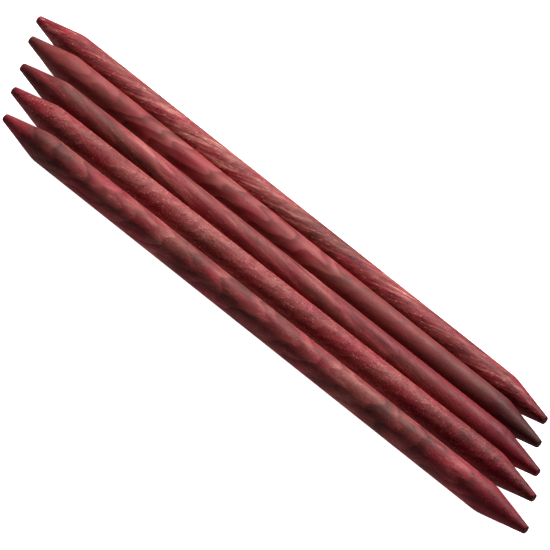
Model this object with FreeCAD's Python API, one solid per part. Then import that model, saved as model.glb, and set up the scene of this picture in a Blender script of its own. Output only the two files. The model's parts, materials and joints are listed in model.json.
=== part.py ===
import FreeCAD, Part

import math
import os

# A set of five straight knitting needles, pointed at both ends, turned from laminated birch.
# They lie side by side on a flat surface. Millimetres. +Z is up and z = 0 is the surface.
# +X runs along the needles, and the origin is under the middle of the whole row.

# One needle
LENGTH = 200.0           # tip to tip
SHAFT_D = 9.0            # the gauge size of the needle
POINT_LENGTH = 15.0      # from the sharp shoulder line to the end face
TIP_D = 2.4              # the blunt end face, before its rim is rounded
SHOULDER_R = 14.0        # eases the shaft into the point
TIP_RIM_R = 0.3          # eases the point into the end face

# How the needles lie, from the back of the row (+Y) to the front (-Y). Each one is a little
# further along +X than the one behind it, and they fan slightly, as loose needles do.
# name: (gap to the needle behind, step along +X from the needle behind, turn about +Z in degrees)
ROW = {
    "needle_1": (0.0, 0.0, -0.50),
    "needle_2": (0.85, 6.0, -0.55),
    "needle_3": (2.35, 8.2, 0.0),
    "needle_4": (1.40, 6.8, 0.35),
    "needle_5": (3.50, 8.0, 0.05),
}

SHAFT_R = SHAFT_D / 2
TIP_R = TIP_D / 2
UP = FreeCAD.Vector(0, 0, 1)


def rounded_corner(before, corner, after, radius):
    """The start, middle and end of the arc of this radius that rounds a corner of an outline."""
    back = (before - corner).normalize()
    on = (after - corner).normalize()
    half_angle = back.getAngle(on) / 2
    reach = radius / math.tan(half_angle)
    start = corner + back * reach
    end = corner + on * reach
    inwards = (back + on).normalize()
    centre = corner + inwards * (radius / math.sin(half_angle))
    middle = centre - inwards * radius
    return start, middle, end


def needle():
    """One needle along X, centred on the origin: a round shaft with a blunt cone at each end."""
    half = LENGTH / 2
    left_axis = FreeCAD.Vector(-half, 0, 0)
    left_rim = FreeCAD.Vector(-half, 0, TIP_R)
    left_shoulder = FreeCAD.Vector(-half + POINT_LENGTH, 0, SHAFT_R)
    right_shoulder = FreeCAD.Vector(half - POINT_LENGTH, 0, SHAFT_R)
    right_rim = FreeCAD.Vector(half, 0, TIP_R)
    right_axis = FreeCAD.Vector(half, 0, 0)
    corners = [
        (left_axis, left_rim, left_shoulder, TIP_RIM_R),
        (left_rim, left_shoulder, right_shoulder, SHOULDER_R),
        (left_shoulder, right_shoulder, right_rim, SHOULDER_R),
        (right_shoulder, right_rim, right_axis, TIP_RIM_R),
    ]
    edges = []
    here = left_axis
    for before, corner, after, radius in corners:
        start, middle, end = rounded_corner(before, corner, after, radius)
        edges.append(Part.LineSegment(here, start).toShape())
        edges.append(Part.Arc(start, middle, end).toShape())
        here = end
    edges.append(Part.LineSegment(here, right_axis).toShape())
    edges.append(Part.LineSegment(right_axis, left_axis).toShape())
    outline = Part.Face(Part.Wire(edges))
    return outline.revolve(FreeCAD.Vector(0, 0, 0), FreeCAD.Vector(1, 0, 0), 360)


def lie_in_row():
    """{name: needle} with each one resting on z = 0, and the row centred on the origin."""
    placed = {}
    along = 0.0
    across = 0.0
    for name, (gap, step, turn) in ROW.items():
        if placed:
            along += step
            across -= SHAFT_D + gap
        solid = needle()
        solid.rotate(FreeCAD.Vector(0, 0, 0), UP, turn)
        solid.translate(FreeCAD.Vector(along, across, SHAFT_R))
        placed[name] = solid
    box = Part.makeCompound(list(placed.values())).optimalBoundingBox(False)
    for solid in placed.values():
        solid.translate(FreeCAD.Vector(-box.Center.x, -box.Center.y, 0))
    return placed


def main():
    os.makedirs("parts", exist_ok=True)
    row = lie_in_row()
    for name, solid in row.items():
        solid.exportStep("parts/" + name + ".step")
        middle = solid.CenterOfMass
        print("%s centre %.3f %.3f %.3f volume %.1f valid %s" % (
            name, middle.x, middle.y, middle.z, solid.Volume, solid.isValid()))
    names = list(row)
    for behind, front in zip(names, names[1:]):
        print("gap %s to %s %.3f" % (behind, front, row[behind].distToShape(row[front])[0]))


main()
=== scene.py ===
import json
import math

import bmesh
import bpy
from mathutils import Matrix, Vector


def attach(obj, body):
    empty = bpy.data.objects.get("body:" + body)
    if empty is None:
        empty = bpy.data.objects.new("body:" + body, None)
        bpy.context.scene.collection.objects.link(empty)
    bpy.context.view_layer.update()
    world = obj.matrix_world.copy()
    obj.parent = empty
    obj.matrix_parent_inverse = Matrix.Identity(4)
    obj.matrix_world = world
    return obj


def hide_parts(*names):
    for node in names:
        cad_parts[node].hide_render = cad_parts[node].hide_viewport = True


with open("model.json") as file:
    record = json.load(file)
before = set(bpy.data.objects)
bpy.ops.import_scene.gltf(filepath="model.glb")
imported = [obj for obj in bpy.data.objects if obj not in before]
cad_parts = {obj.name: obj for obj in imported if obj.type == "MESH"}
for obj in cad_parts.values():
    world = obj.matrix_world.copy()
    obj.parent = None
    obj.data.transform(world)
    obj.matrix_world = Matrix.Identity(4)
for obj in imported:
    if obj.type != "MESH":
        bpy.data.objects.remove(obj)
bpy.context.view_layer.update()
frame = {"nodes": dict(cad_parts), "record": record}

MM = 0.001

# Turned shape of every needle, beside the shaft radius and the length, which the frame gives
POINT_LENGTH = 15.0 * MM
TIP_RADIUS = 1.2 * MM
TIP_RIM_RADIUS = 0.3 * MM
SHOULDER_RADIUS = 14.0 * MM

# Mesh density: rings along each part of half a needle, and corners around it
RIM_RINGS = 5
CONE_RINGS = 12
SHOULDER_RINGS = 16
SHAFT_RINGS = 40
AROUND = 192

# Camera
LOOK_AT = Vector((-0.66, 3.06, 0.0)) * MM
CAMERA_AZIMUTH = 29.9
CAMERA_ELEVATION = 34.1
CAMERA_ROLL = 20.4
CAMERA_DISTANCE = 2.0
CAMERA_LENS = 470.7
SENSOR_WIDTH = 36.0
CLIP_NEAR = 0.05
CLIP_FAR = 100.0

FLOOR_HALF = 20.0
FLOOR_COLOUR = (0.9, 0.9, 0.9, 1)
FLOOR_ROUGHNESS = 0.9
FLOOR_GLOW = 0.9

# Light on the needles: a soft key from behind and above, little from the room, and the floor's
# bounce from below
KEY_AZIMUTH = 205.0
KEY_ELEVATION = 62.5
KEY_DISTANCE = 1.6
KEY_SIZE = 0.75
KEY_POWER = 28.0
ROOM_LIGHT = (0.03, 0.03, 0.03, 1)
FLOOR_BOUNCE = (0.40, 0.36, 0.37, 1)
HORIZON = (0.46, 0.54)   # the bounce ends and the room begins, with 0 straight down and 1 straight up


# ---------------------------------------------------------------- stage

def direction(azimuth, elevation):
    """Unit vector towards a place at this azimuth (0 is -Y, 90 is +X) and elevation, in degrees."""
    a = math.radians(azimuth)
    e = math.radians(elevation)
    return Vector((math.sin(a) * math.cos(e), -math.cos(a) * math.cos(e), math.sin(e)))


def add_camera():
    """A long lens, rolled so that the row runs down to the right."""
    data = bpy.data.cameras.new("camera")
    data.lens = CAMERA_LENS
    data.sensor_width = SENSOR_WIDTH
    data.clip_start = CLIP_NEAR
    data.clip_end = CLIP_FAR
    camera = bpy.data.objects.new("camera", data)
    bpy.context.scene.collection.objects.link(camera)
    towards = direction(CAMERA_AZIMUTH, CAMERA_ELEVATION)
    turn = towards.to_track_quat("Z", "Y").to_matrix().to_4x4()
    roll = Matrix.Rotation(math.radians(CAMERA_ROLL), 4, "Z")
    camera.matrix_world = Matrix.Translation(LOOK_AT + towards * CAMERA_DISTANCE) @ turn @ roll
    bpy.context.scene.camera = camera


def add_floor():
    """A white floor. It glows, so that it stays white in shade, and lights nothing itself."""
    size = FLOOR_HALF
    mesh = bpy.data.meshes.new("floor")
    corners = [(-size, -size, 0), (size, -size, 0), (size, size, 0), (-size, size, 0)]
    mesh.from_pydata(corners, [], [(0, 1, 2, 3)])
    floor = bpy.data.objects.new("floor", mesh)
    bpy.context.scene.collection.objects.link(floor)
    material = bpy.data.materials.new("floor")
    material.use_nodes = True
    shader = material.node_tree.nodes["Principled BSDF"]
    shader.inputs["Base Color"].default_value = FLOOR_COLOUR
    shader.inputs["Roughness"].default_value = FLOOR_ROUGHNESS
    shader.inputs["Specular IOR Level"].default_value = 0.0
    shader.inputs["Emission Color"].default_value = (1, 1, 1, 1)
    shader.inputs["Emission Strength"].default_value = FLOOR_GLOW
    mesh.materials.append(material)
    floor.visible_diffuse = False
    floor.visible_glossy = False


def add_key_light():
    """A round soft light."""
    data = bpy.data.lights.new("key", "AREA")
    data.shape = "DISK"
    data.size = KEY_SIZE
    data.energy = KEY_POWER
    lamp = bpy.data.objects.new("key", data)
    bpy.context.scene.collection.objects.link(lamp)
    towards = direction(KEY_AZIMUTH, KEY_ELEVATION)
    turn = towards.to_track_quat("Z", "Y").to_matrix().to_4x4()
    lamp.matrix_world = Matrix.Translation(towards * KEY_DISTANCE) @ turn


def add_world():
    """Dim light from all round, and from below the horizon what a white floor throws back."""
    world = bpy.data.worlds.new("studio")
    world.use_nodes = True
    nodes = world.node_tree.nodes
    links = world.node_tree.links
    place = nodes.new("ShaderNodeTexCoord")
    height = nodes.new("ShaderNodeSeparateXYZ")
    shade = nodes.new("ShaderNodeValToRGB")
    shade.color_ramp.elements[0].position = HORIZON[0]
    shade.color_ramp.elements[0].color = FLOOR_BOUNCE
    shade.color_ramp.elements[1].position = HORIZON[1]
    shade.color_ramp.elements[1].color = ROOM_LIGHT
    lift = nodes.new("ShaderNodeMapRange")
    lift.inputs["From Min"].default_value = -1.0
    links.new(place.outputs["Generated"], height.inputs["Vector"])
    links.new(height.outputs["Z"], lift.inputs["Value"])
    links.new(lift.outputs["Result"], shade.inputs["Fac"])
    links.new(shade.outputs["Color"], nodes["Background"].inputs["Color"])
    bpy.context.scene.world = world


# ---------------------------------------------------------------- shape

def needle_facts():
    """{node: centre, direction, shaft radius and half length}, from the record and the CAD meshes."""
    facts = {}
    for mount in frame["record"]["mounts"]:
        node = mount["name"].replace("_shaft", "")
        centre = Vector(mount["pos_m"])
        along = Vector(mount["axis"]).normalized()
        vertices = frame["nodes"][node].data.vertices
        half = max(abs((v.co - centre).dot(along)) for v in vertices)
        radius = mount["dims"]["r_mm"] * MM
        facts[node] = {"centre": centre, "along": along, "radius": radius, "half": half}
    return facts


def rounded_corner(before, corner, after, radius, steps):
    """Points along the arc of this radius that rounds a corner where an outline turns clockwise."""
    back = (before - corner).normalized()
    on = (after - corner).normalized()
    half_angle = back.angle(on) / 2
    centre = corner + (back + on).normalized() * (radius / math.sin(half_angle))
    spoke = corner + back * (radius / math.tan(half_angle)) - centre
    turn = math.pi - 2 * half_angle
    return [centre + Matrix.Rotation(-turn * i / steps, 2) @ spoke for i in range(steps + 1)]


def between(start, end, steps):
    """Evenly spaced points from start to end, without the two ends."""
    return [start.lerp(end, i / steps) for i in range(1, steps)]


def outline(half, radius):
    """(place along the needle, radius) of every ring of a needle, from one end face to the other."""
    axis = Vector((-half, 0))
    rim = Vector((-half, TIP_RADIUS))
    shoulder = Vector((-half + POINT_LENGTH, radius))
    middle = Vector((0, radius))
    rim_arc = rounded_corner(axis, rim, shoulder, TIP_RIM_RADIUS, RIM_RINGS)
    shoulder_arc = rounded_corner(rim, shoulder, middle, SHOULDER_RADIUS, SHOULDER_RINGS)
    cone = between(rim_arc[-1], shoulder_arc[0], CONE_RINGS)
    shaft = between(shoulder_arc[-1], middle, SHAFT_RINGS)
    left = [tuple(point) for point in rim_arc + cone + shoulder_arc + shaft]
    right = [(-x, r) for x, r in reversed(left)]
    return left + [(0.0, radius)] + right


def needle_mesh(name, fact):
    """A turned needle: rings of corners around its axis, with a flat face at each end."""
    bm = bmesh.new()
    across = Vector((-fact["along"].y, fact["along"].x, 0))
    up = Vector((0, 0, 1))
    rings = []
    for x, r in outline(fact["half"], fact["radius"]):
        ring = []
        for k in range(AROUND):
            angle = 2 * math.pi * k / AROUND
            outwards = across * math.cos(angle) + up * math.sin(angle)
            ring.append(bm.verts.new(fact["centre"] + fact["along"] * x + outwards * r))
        rings.append(ring)
    for ring, following in zip(rings, rings[1:]):
        for k in range(AROUND):
            after = (k + 1) % AROUND
            bm.faces.new((ring[k], following[k], following[after], ring[after]))
    bm.faces.new(rings[0])
    bm.faces.new(rings[-1])
    bmesh.ops.recalc_face_normals(bm, faces=bm.faces)
    mesh = bpy.data.meshes.new(name)
    bm.to_mesh(mesh)
    bm.free()
    mesh.shade_smooth()
    return mesh


# ---------------------------------------------------------------- wood

# Albedo of the dyed birch, from its darkest veneer to its palest fibre, where it took the dye
# as a warm brown red, and where it took it as a crimson
RUSSET = [
    (0.00, (0.042, 0.016, 0.012, 1)),
    (0.20, (0.130, 0.046, 0.037, 1)),
    (0.36, (0.218, 0.068, 0.056, 1)),
    (0.50, (0.340, 0.088, 0.077, 1)),
    (0.64, (0.445, 0.142, 0.126, 1)),
    (0.80, (0.580, 0.230, 0.195, 1)),
    (1.00, (0.820, 0.450, 0.340, 1)),
]
CRIMSON = [
    (0.00, (0.038, 0.008, 0.011, 1)),
    (0.22, (0.140, 0.015, 0.024, 1)),
    (0.50, (0.370, 0.042, 0.057, 1)),
    (0.68, (0.520, 0.092, 0.108, 1)),
    (0.82, (0.640, 0.220, 0.190, 1)),
    (1.00, (0.820, 0.440, 0.350, 1)),
]

# The look of each needle's wood. The values were chosen to look like five real needles.
# tones, blush and figure are stops of (mm from the left tip, value): tones are places on the two
# scales of colour above, blush is 0 for russet and 1 for crimson, and figure is the strength of
# the veneers' pattern there.
# lean is the mm that a veneer's edge moves along the needle for each mm up its side, and bow is how
# much that edge bends. period is the length in mm of one flame, and flame is its change of tone.
# twist is the turn of the fibres, in degrees for each mm. bundle and streak are the changes of tone
# of long pale and long mixed fibres, and the next three those of short ones: of short fibres, of pale
# specks, which are partly real specks and partly painted glints of the varnish, and of dark pores.
# grain is the number of short fibres to the mm along the needle.
BLANKS = {
    "needle_1": {
        "tones": [(0, 0.46), (5, 0.56), (12, 0.48), (22, 0.48), (38, 0.48), (54, 0.53), (66, 0.61),
                  (74, 0.52), (88, 0.62), (98, 0.54), (106, 0.38), (120, 0.39), (130, 0.54),
                  (138, 0.50), (152, 0.43), (172, 0.46), (188, 0.40), (200, 0.26)],
        "blush": [(0, 0.9), (10, 0.7), (24, 0.3), (48, 0.7), (64, 0.2), (78, 0.6), (92, 0.2),
                  (108, 0.0), (122, 0.1), (134, 0.7), (152, 0.4), (170, 0.6), (188, 0.9)],
        "figure": [(0, 0.6), (44, 0.7), (58, 1.0), (68, 1.2), (104, 1.2), (112, 0.7), (128, 1.0),
                   (140, 0.9), (182, 1.0), (190, 0.4)],
        "lean": 2.4, "bow": 0.0, "period": 13.0, "flame": 0.10,
        "twist": 3.2, "bundle": 0.30, "streak": 0.28,
        "grain": 0.30, "fibre": 0.34, "fleck": 0.36, "pit": 0.20, "seed": 11.0,
    },
    "needle_2": {
        "tones": [(0, 0.34), (8, 0.50), (20, 0.51), (32, 0.52), (44, 0.43), (58, 0.58), (64, 0.52),
                  (70, 0.55), (76, 0.53), (88, 0.51), (104, 0.54), (119, 0.56), (124, 0.44), (146, 0.46),
                  (158, 0.41), (170, 0.36), (182, 0.25), (200, 0.18)],
        "blush": [(0, 0.2), (20, 0.3), (44, 0.2), (59, 0.7), (75, 0.4), (100, 0.6), (120, 0.4),
                  (126, 0.1), (160, 0.4), (175, 0.2), (184, 0.9), (191, 0.2)],
        "figure": [(0, 0.2), (25, 0.6), (42, 1.0), (120, 1.0), (128, 0.3), (200, 0.2)],
        "lean": 1.2, "bow": 0.4, "period": 10.0, "flame": 0.26,
        "twist": 1.5, "bundle": 0.0, "streak": 0.06,
        "grain": 0.30, "fibre": 0.07, "fleck": 0.06, "pit": 0.04, "seed": 23.0,
    },
    "needle_3": {
        "tones": [(0, 0.34), (14, 0.36), (24, 0.30), (32, 0.35), (38, 0.33), (50, 0.36), (62, 0.58),
                  (72, 0.56), (84, 0.43), (104, 0.43), (114, 0.37), (122, 0.39), (132, 0.49), (142, 0.45),
                  (150, 0.37), (164, 0.38), (180, 0.40), (190, 0.40), (200, 0.32)],
        "blush": [(0, 0.6), (20, 0.5), (30, 0.1), (48, 0.2), (62, 0.3), (76, 0.8), (98, 0.3),
                  (120, 0.2), (144, 0.5), (166, 0.7), (184, 1.0)],
        "figure": [(0, 0.6), (40, 1.0), (150, 1.0), (165, 0.2)],
        "lean": -5.0, "bow": 0.0, "period": 34.0, "flame": 0.16,
        "twist": -1.4, "bundle": 0.14, "streak": 0.20,
        "grain": 0.30, "fibre": 0.14, "fleck": 0.14, "pit": 0.10, "seed": 37.0,
    },
    "needle_4": {
        "tones": [(0, 0.33), (8, 0.51), (20, 0.51), (34, 0.50), (46, 0.61), (60, 0.57), (72, 0.58),
                  (82, 0.53), (92, 0.57), (112, 0.53), (122, 0.49), (142, 0.56), (154, 0.52),
                  (163, 0.43), (172, 0.37), (184, 0.39), (192, 0.34), (200, 0.28)],
        "blush": [(0, 0.5), (12, 0.7), (30, 0.4), (60, 0.4), (76, 0.2), (95, 0.5), (118, 0.5),
                  (150, 0.7), (170, 0.6), (184, 1.0)],
        "figure": [(0, 1.0)],
        "lean": 1.4, "bow": 0.3, "period": 6.5, "flame": 0.14,
        "twist": 1.2, "bundle": 0.04, "streak": 0.08,
        "grain": 0.80, "fibre": 0.20, "fleck": 0.42, "pit": 0.26, "seed": 53.0,
    },
    "needle_5": {
        "tones": [(0, 0.48), (7, 0.44), (12, 0.34), (22, 0.35), (30, 0.49), (36, 0.42), (44, 0.53),
                  (50, 0.50), (60, 0.61), (66, 0.55), (72, 0.36), (80, 0.50), (86, 0.52), (92, 0.40),
                  (102, 0.52), (108, 0.43), (118, 0.56), (126, 0.46), (133, 0.60), (140, 0.53),
                  (148, 0.32), (156, 0.54), (163, 0.38), (170, 0.48), (175, 0.60), (181, 0.42),
                  (200, 0.37)],
        "blush": [(0, 0.9), (8, 0.7), (14, 0.3), (24, 0.2), (32, 0.6), (60, 0.4), (70, 0.1),
                  (84, 0.4), (102, 0.3), (118, 0.7), (132, 0.1), (150, 0.1), (172, 0.7), (184, 1.0)],
        "figure": [(0, 0.5), (24, 1.0), (180, 1.0), (186, 0.5)],
        "lean": -0.3, "bow": 0.5, "period": 11.0, "flame": 0.24,
        "twist": 1.2, "bundle": 0.0, "streak": 0.10,
        "grain": 0.45, "fibre": 0.14, "fleck": 0.20, "pit": 0.12, "seed": 71.0,
    },
}


# Lumps of noise for each mm along the needle, and in the two directions across it
WANDER_LUMPS = (0.06, 0.18, 0.18)
RIPPLE_LUMPS = (0.10, 0.26, 0.26)
STREAK_LUMPS = (0.05, 0.60, 0.60)
BUNDLE_LUMPS = (0.05, 0.80, 0.80)
PATCH_LUMPS = (0.08, 0.28, 0.28)
PIT_LUMPS = (1.0, 2.2, 2.2)
VARNISH_LUMPS = (0.2, 1.4, 1.4)
FIBRES_ACROSS = 1.7
FLECKS_ACROSS = 3.0
FLECKS_TO_FIBRES = 2.5   # specks along the needle for each short fibre

# Detail of each noise: how many finer layers it has
WANDER_DETAIL = 1.5
RIPPLE_DETAIL = 0.6
STREAK_DETAIL = 3.0
FIBRE_DETAIL = 3.0
PATCH_DETAIL = 2.0
VARNISH_DETAIL = 2.0
SPECK_DETAIL = 1.0

# Noise below the first value is bare, and above the second it is all speck
BUNDLE_EDGE = (0.52, 0.68)
FLECK_EDGE = (0.61, 0.75)
PIT_EDGE = (0.62, 0.74)

UP_THE_SIDE = 0.71       # turns (y + z) into mm up the needle's front upper side
CREST = 1.0              # mm up the side where a bowed veneer edge reaches furthest
WANDER_MM = 8.0          # how far a veneer's edge strays along the needle
RIPPLE = 1.0             # how far a flame strays, in flames
PATCH = 1.3              # how far the blush strays
FLAME_SHAPE = [(0.0, 0.75), (0.08, 0.1), (0.3, 0.3), (0.62, 0.8), (0.9, 1.0), (1.0, 0.75)]
FLAME_MEAN = 0.6

ROUGHNESS = 0.56
ROUGHNESS_SWING = 0.14
SPECULAR_LEVEL = 0.30
RELIEF_MM = 0.06
BUMP_STRENGTH = 0.8
FIBRE_RELIEF = 3.0
FLECK_RELIEF = 0.6
PIT_RELIEF = -0.9


def make(tree, kind, inputs, **settings):
    """A new node with its settings made and its inputs filled, by values or other nodes' outputs."""
    made = tree.nodes.new(kind)
    for name, value in settings.items():
        setattr(made, name, value)
    for name, value in inputs.items():
        if isinstance(value, bpy.types.NodeSocket):
            tree.links.new(value, made.inputs[name])
        else:
            made.inputs[name].default_value = value
    return made


def calc(tree, operation, *values):
    """The result of one sum on values or other nodes' outputs."""
    return make(tree, "ShaderNodeMath", dict(enumerate(values)), operation=operation).outputs[0]


def noise(tree, place, lumps, shift, detail):
    """Noise from 0 to 1, with this many lumps for each mm of place, and another shift for each use."""
    inputs = {0: place, 1: lumps, 2: shift}
    vector = make(tree, "ShaderNodeVectorMath", inputs, operation="MULTIPLY_ADD").outputs[0]
    return make(tree, "ShaderNodeTexNoise", {"Vector": vector, "Scale": 1.0, "Detail": detail}).outputs[0]


def swing(tree, place, lumps, shift, detail, amount):
    """Noise from -amount to amount."""
    return calc(tree, "MULTIPLY_ADD", noise(tree, place, lumps, shift, detail), 2.0 * amount, -amount)


def specks(tree, place, lumps, shift, edge):
    """0 to 1, in separate grains where the noise is above the edge's first value."""
    value = noise(tree, place, lumps, shift, SPECK_DETAIL)
    inputs = {"Value": value, "From Min": edge[0], "From Max": edge[1]}
    return make(tree, "ShaderNodeMapRange", inputs, interpolation_type="SMOOTHSTEP").outputs[0]


def ramp(tree, factor, stops):
    """The colour at factor on a scale of (place, colour) stops."""
    made = make(tree, "ShaderNodeValToRGB", {"Fac": factor})
    elements = made.color_ramp.elements
    while len(elements) < len(stops):
        elements.new(0.5)
    while len(elements) > len(stops):
        elements.remove(elements[0])
    for element, (place, colour) in zip(elements, stops):
        element.position = place
        element.color = colour
    return made.outputs["Color"]


def grey_ramp(tree, factor, stops):
    """The value at factor on a scale of (place, value) stops."""
    return ramp(tree, factor, [(place, (value, value, value, 1)) for place, value in stops])


def blend(tree, factor, first, second):
    """The first colour where factor is 0 and the second where it is 1."""
    made = make(tree, "ShaderNodeMix", {"Factor": factor}, data_type="RGBA")
    colours = [socket for socket in made.inputs if socket.type == "RGBA"]
    for colour, socket in zip((first, second), colours):
        tree.links.new(colour, socket)
    return [socket for socket in made.outputs if socket.type == "RGBA"][0]


def needle_place(tree, fact):
    """Place on the needle in mm from its middle: x along it, y across and z up."""
    seen = make(tree, "ShaderNodeTexCoord", {}).outputs["Object"]
    turn = math.atan2(fact["along"].y, fact["along"].x)
    mapping = {"Vector": seen, "Location": fact["centre"], "Rotation": (0, 0, turn), "Scale": (MM, MM, MM)}
    return make(tree, "ShaderNodeMapping", mapping, vector_type="TEXTURE").outputs[0]


def veneers(tree, place, length_mm, blank):
    """The tone, blush and figure of the pressed veneers, whose edges cross the needle on a slant."""
    seed = blank["seed"]
    parts = make(tree, "ShaderNodeSeparateXYZ", {"Vector": place}).outputs
    rise = calc(tree, "MULTIPLY", calc(tree, "ADD", parts["Y"], parts["Z"]), UP_THE_SIDE)
    slanted = calc(tree, "MULTIPLY_ADD", rise, -blank["lean"], parts["X"])
    wander = swing(tree, place, WANDER_LUMPS, (seed, 0, 0), WANDER_DETAIL, WANDER_MM)
    slanted = calc(tree, "ADD", slanted, wander)
    share = calc(tree, "MULTIPLY_ADD", slanted, 1.0 / length_mm, 0.5)
    runs = {}
    for name in ("tones", "blush", "figure"):
        stops = [(at / length_mm, value) for at, value in blank[name]]
        runs[name] = grey_ramp(tree, share, stops)

    # Flames: each veneer brightens slowly along the needle and ends on a sharp, bowed edge
    off_crest = calc(tree, "SUBTRACT", rise, CREST)
    bowed = calc(tree, "MULTIPLY", calc(tree, "MULTIPLY", off_crest, off_crest), blank["bow"])
    bowed = calc(tree, "ADD", slanted, bowed)
    ripple = swing(tree, place, RIPPLE_LUMPS, (0, seed, 0), RIPPLE_DETAIL, RIPPLE)
    flame = calc(tree, "FRACT", calc(tree, "MULTIPLY_ADD", bowed, 1.0 / blank["period"], ripple))
    flame = grey_ramp(tree, flame, FLAME_SHAPE)
    flame = calc(tree, "MULTIPLY_ADD", flame, blank["flame"], -FLAME_MEAN * blank["flame"])
    return runs["tones"], runs["blush"], runs["figure"], flame


def twist_place(tree, place, degrees_per_mm):
    """Place on the needle, turned about its axis so that the fibres run along x."""
    x = make(tree, "ShaderNodeSeparateXYZ", {"Vector": place}).outputs["X"]
    angle = calc(tree, "MULTIPLY", x, math.radians(degrees_per_mm))
    inputs = {"Vector": place, "Angle": angle}
    return make(tree, "ShaderNodeVectorRotate", inputs, rotation_type="X_AXIS").outputs[0]


def wood_material(name, fact, blank):
    """Dyed, pressed and turned birch under a satin varnish."""
    material = bpy.data.materials.new(name)
    material.use_nodes = True
    tree = material.node_tree
    shader = tree.nodes["Principled BSDF"]
    seed = blank["seed"]
    place = needle_place(tree, fact)
    tone, blush, figure, flame = veneers(tree, place, 2 * fact["half"] / MM, blank)

    # Long fibres belong to the figure
    twisted = twist_place(tree, place, blank["twist"])
    streak = swing(tree, twisted, STREAK_LUMPS, (0, 0, seed), STREAK_DETAIL, blank["streak"])
    bundle = specks(tree, twisted, BUNDLE_LUMPS, (seed, seed, 0), BUNDLE_EDGE)
    figured = calc(tree, "MULTIPLY_ADD", bundle, blank["bundle"], calc(tree, "ADD", flame, streak))
    tone = calc(tree, "MULTIPLY_ADD", figured, figure, tone)

    # Short fibres, pale specks and dark pores are everywhere; the pale specks are partly real and partly
    # painted glints of the varnish
    fibre_lumps = (blank["grain"], FIBRES_ACROSS, FIBRES_ACROSS)
    fleck_lumps = (FLECKS_TO_FIBRES * blank["grain"], FLECKS_ACROSS, FLECKS_ACROSS)
    fibre = swing(tree, twisted, fibre_lumps, (seed, 0, 0), FIBRE_DETAIL, blank["fibre"])
    fleck = specks(tree, twisted, fleck_lumps, (0, seed, 0), FLECK_EDGE)
    pit = specks(tree, twisted, PIT_LUMPS, (0, 0, seed), PIT_EDGE)
    tone = calc(tree, "ADD", tone, fibre)
    # The pale specks lighten the colour: partly real specks in the wood, partly painted glints of the
    # varnish
    tone = calc(tree, "MULTIPLY_ADD", fleck, blank["fleck"], tone)
    tone = calc(tree, "MULTIPLY_ADD", pit, -blank["pit"], tone)

    # The dye took in patches
    patch = swing(tree, twisted, PATCH_LUMPS, (0, seed, seed), PATCH_DETAIL, PATCH)
    blush = calc(tree, "MULTIPLY_ADD", patch, figure, blush)
    colour = blend(tree, blush, ramp(tree, tone, RUSSET), ramp(tree, tone, CRIMSON))
    tree.links.new(colour, shader.inputs["Base Color"])

    # The varnish sinks into the open grain
    sheen = swing(tree, twisted, VARNISH_LUMPS, (0, 0, 0), VARNISH_DETAIL, ROUGHNESS_SWING)
    tree.links.new(calc(tree, "ADD", sheen, ROUGHNESS), shader.inputs["Roughness"])
    shader.inputs["Specular IOR Level"].default_value = SPECULAR_LEVEL
    relief = calc(tree, "MULTIPLY_ADD", pit, PIT_RELIEF, calc(tree, "MULTIPLY", fibre, FIBRE_RELIEF))
    relief = calc(tree, "MULTIPLY_ADD", fleck, FLECK_RELIEF, relief)
    bumps = {"Height": relief, "Distance": RELIEF_MM * MM, "Strength": BUMP_STRENGTH}
    bump = make(tree, "ShaderNodeBump", bumps)
    tree.links.new(bump.outputs["Normal"], shader.inputs["Normal"])
    return material


# ---------------------------------------------------------------- scene

def add_needles():
    """The five turned needles, each in its wood, riding its body in place of the plain CAD needle."""
    bodies = frame["record"]["behaviour"]["bodies"]
    body_of = {node: body for body, nodes in bodies.items() for node in nodes}
    for node, fact in needle_facts().items():
        mesh = needle_mesh("turned_" + node, fact)
        mesh.materials.append(wood_material("wood_" + node, fact, BLANKS[node]))
        piece = bpy.data.objects.new("turned_" + node, mesh)
        bpy.context.scene.collection.objects.link(piece)
        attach(piece, body_of[node])
        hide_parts(node)


bpy.context.scene.view_settings.view_transform = "Standard"
bpy.context.scene.view_settings.look = "Medium High Contrast"
add_camera()
add_floor()
add_world()
add_key_light()
add_needles()
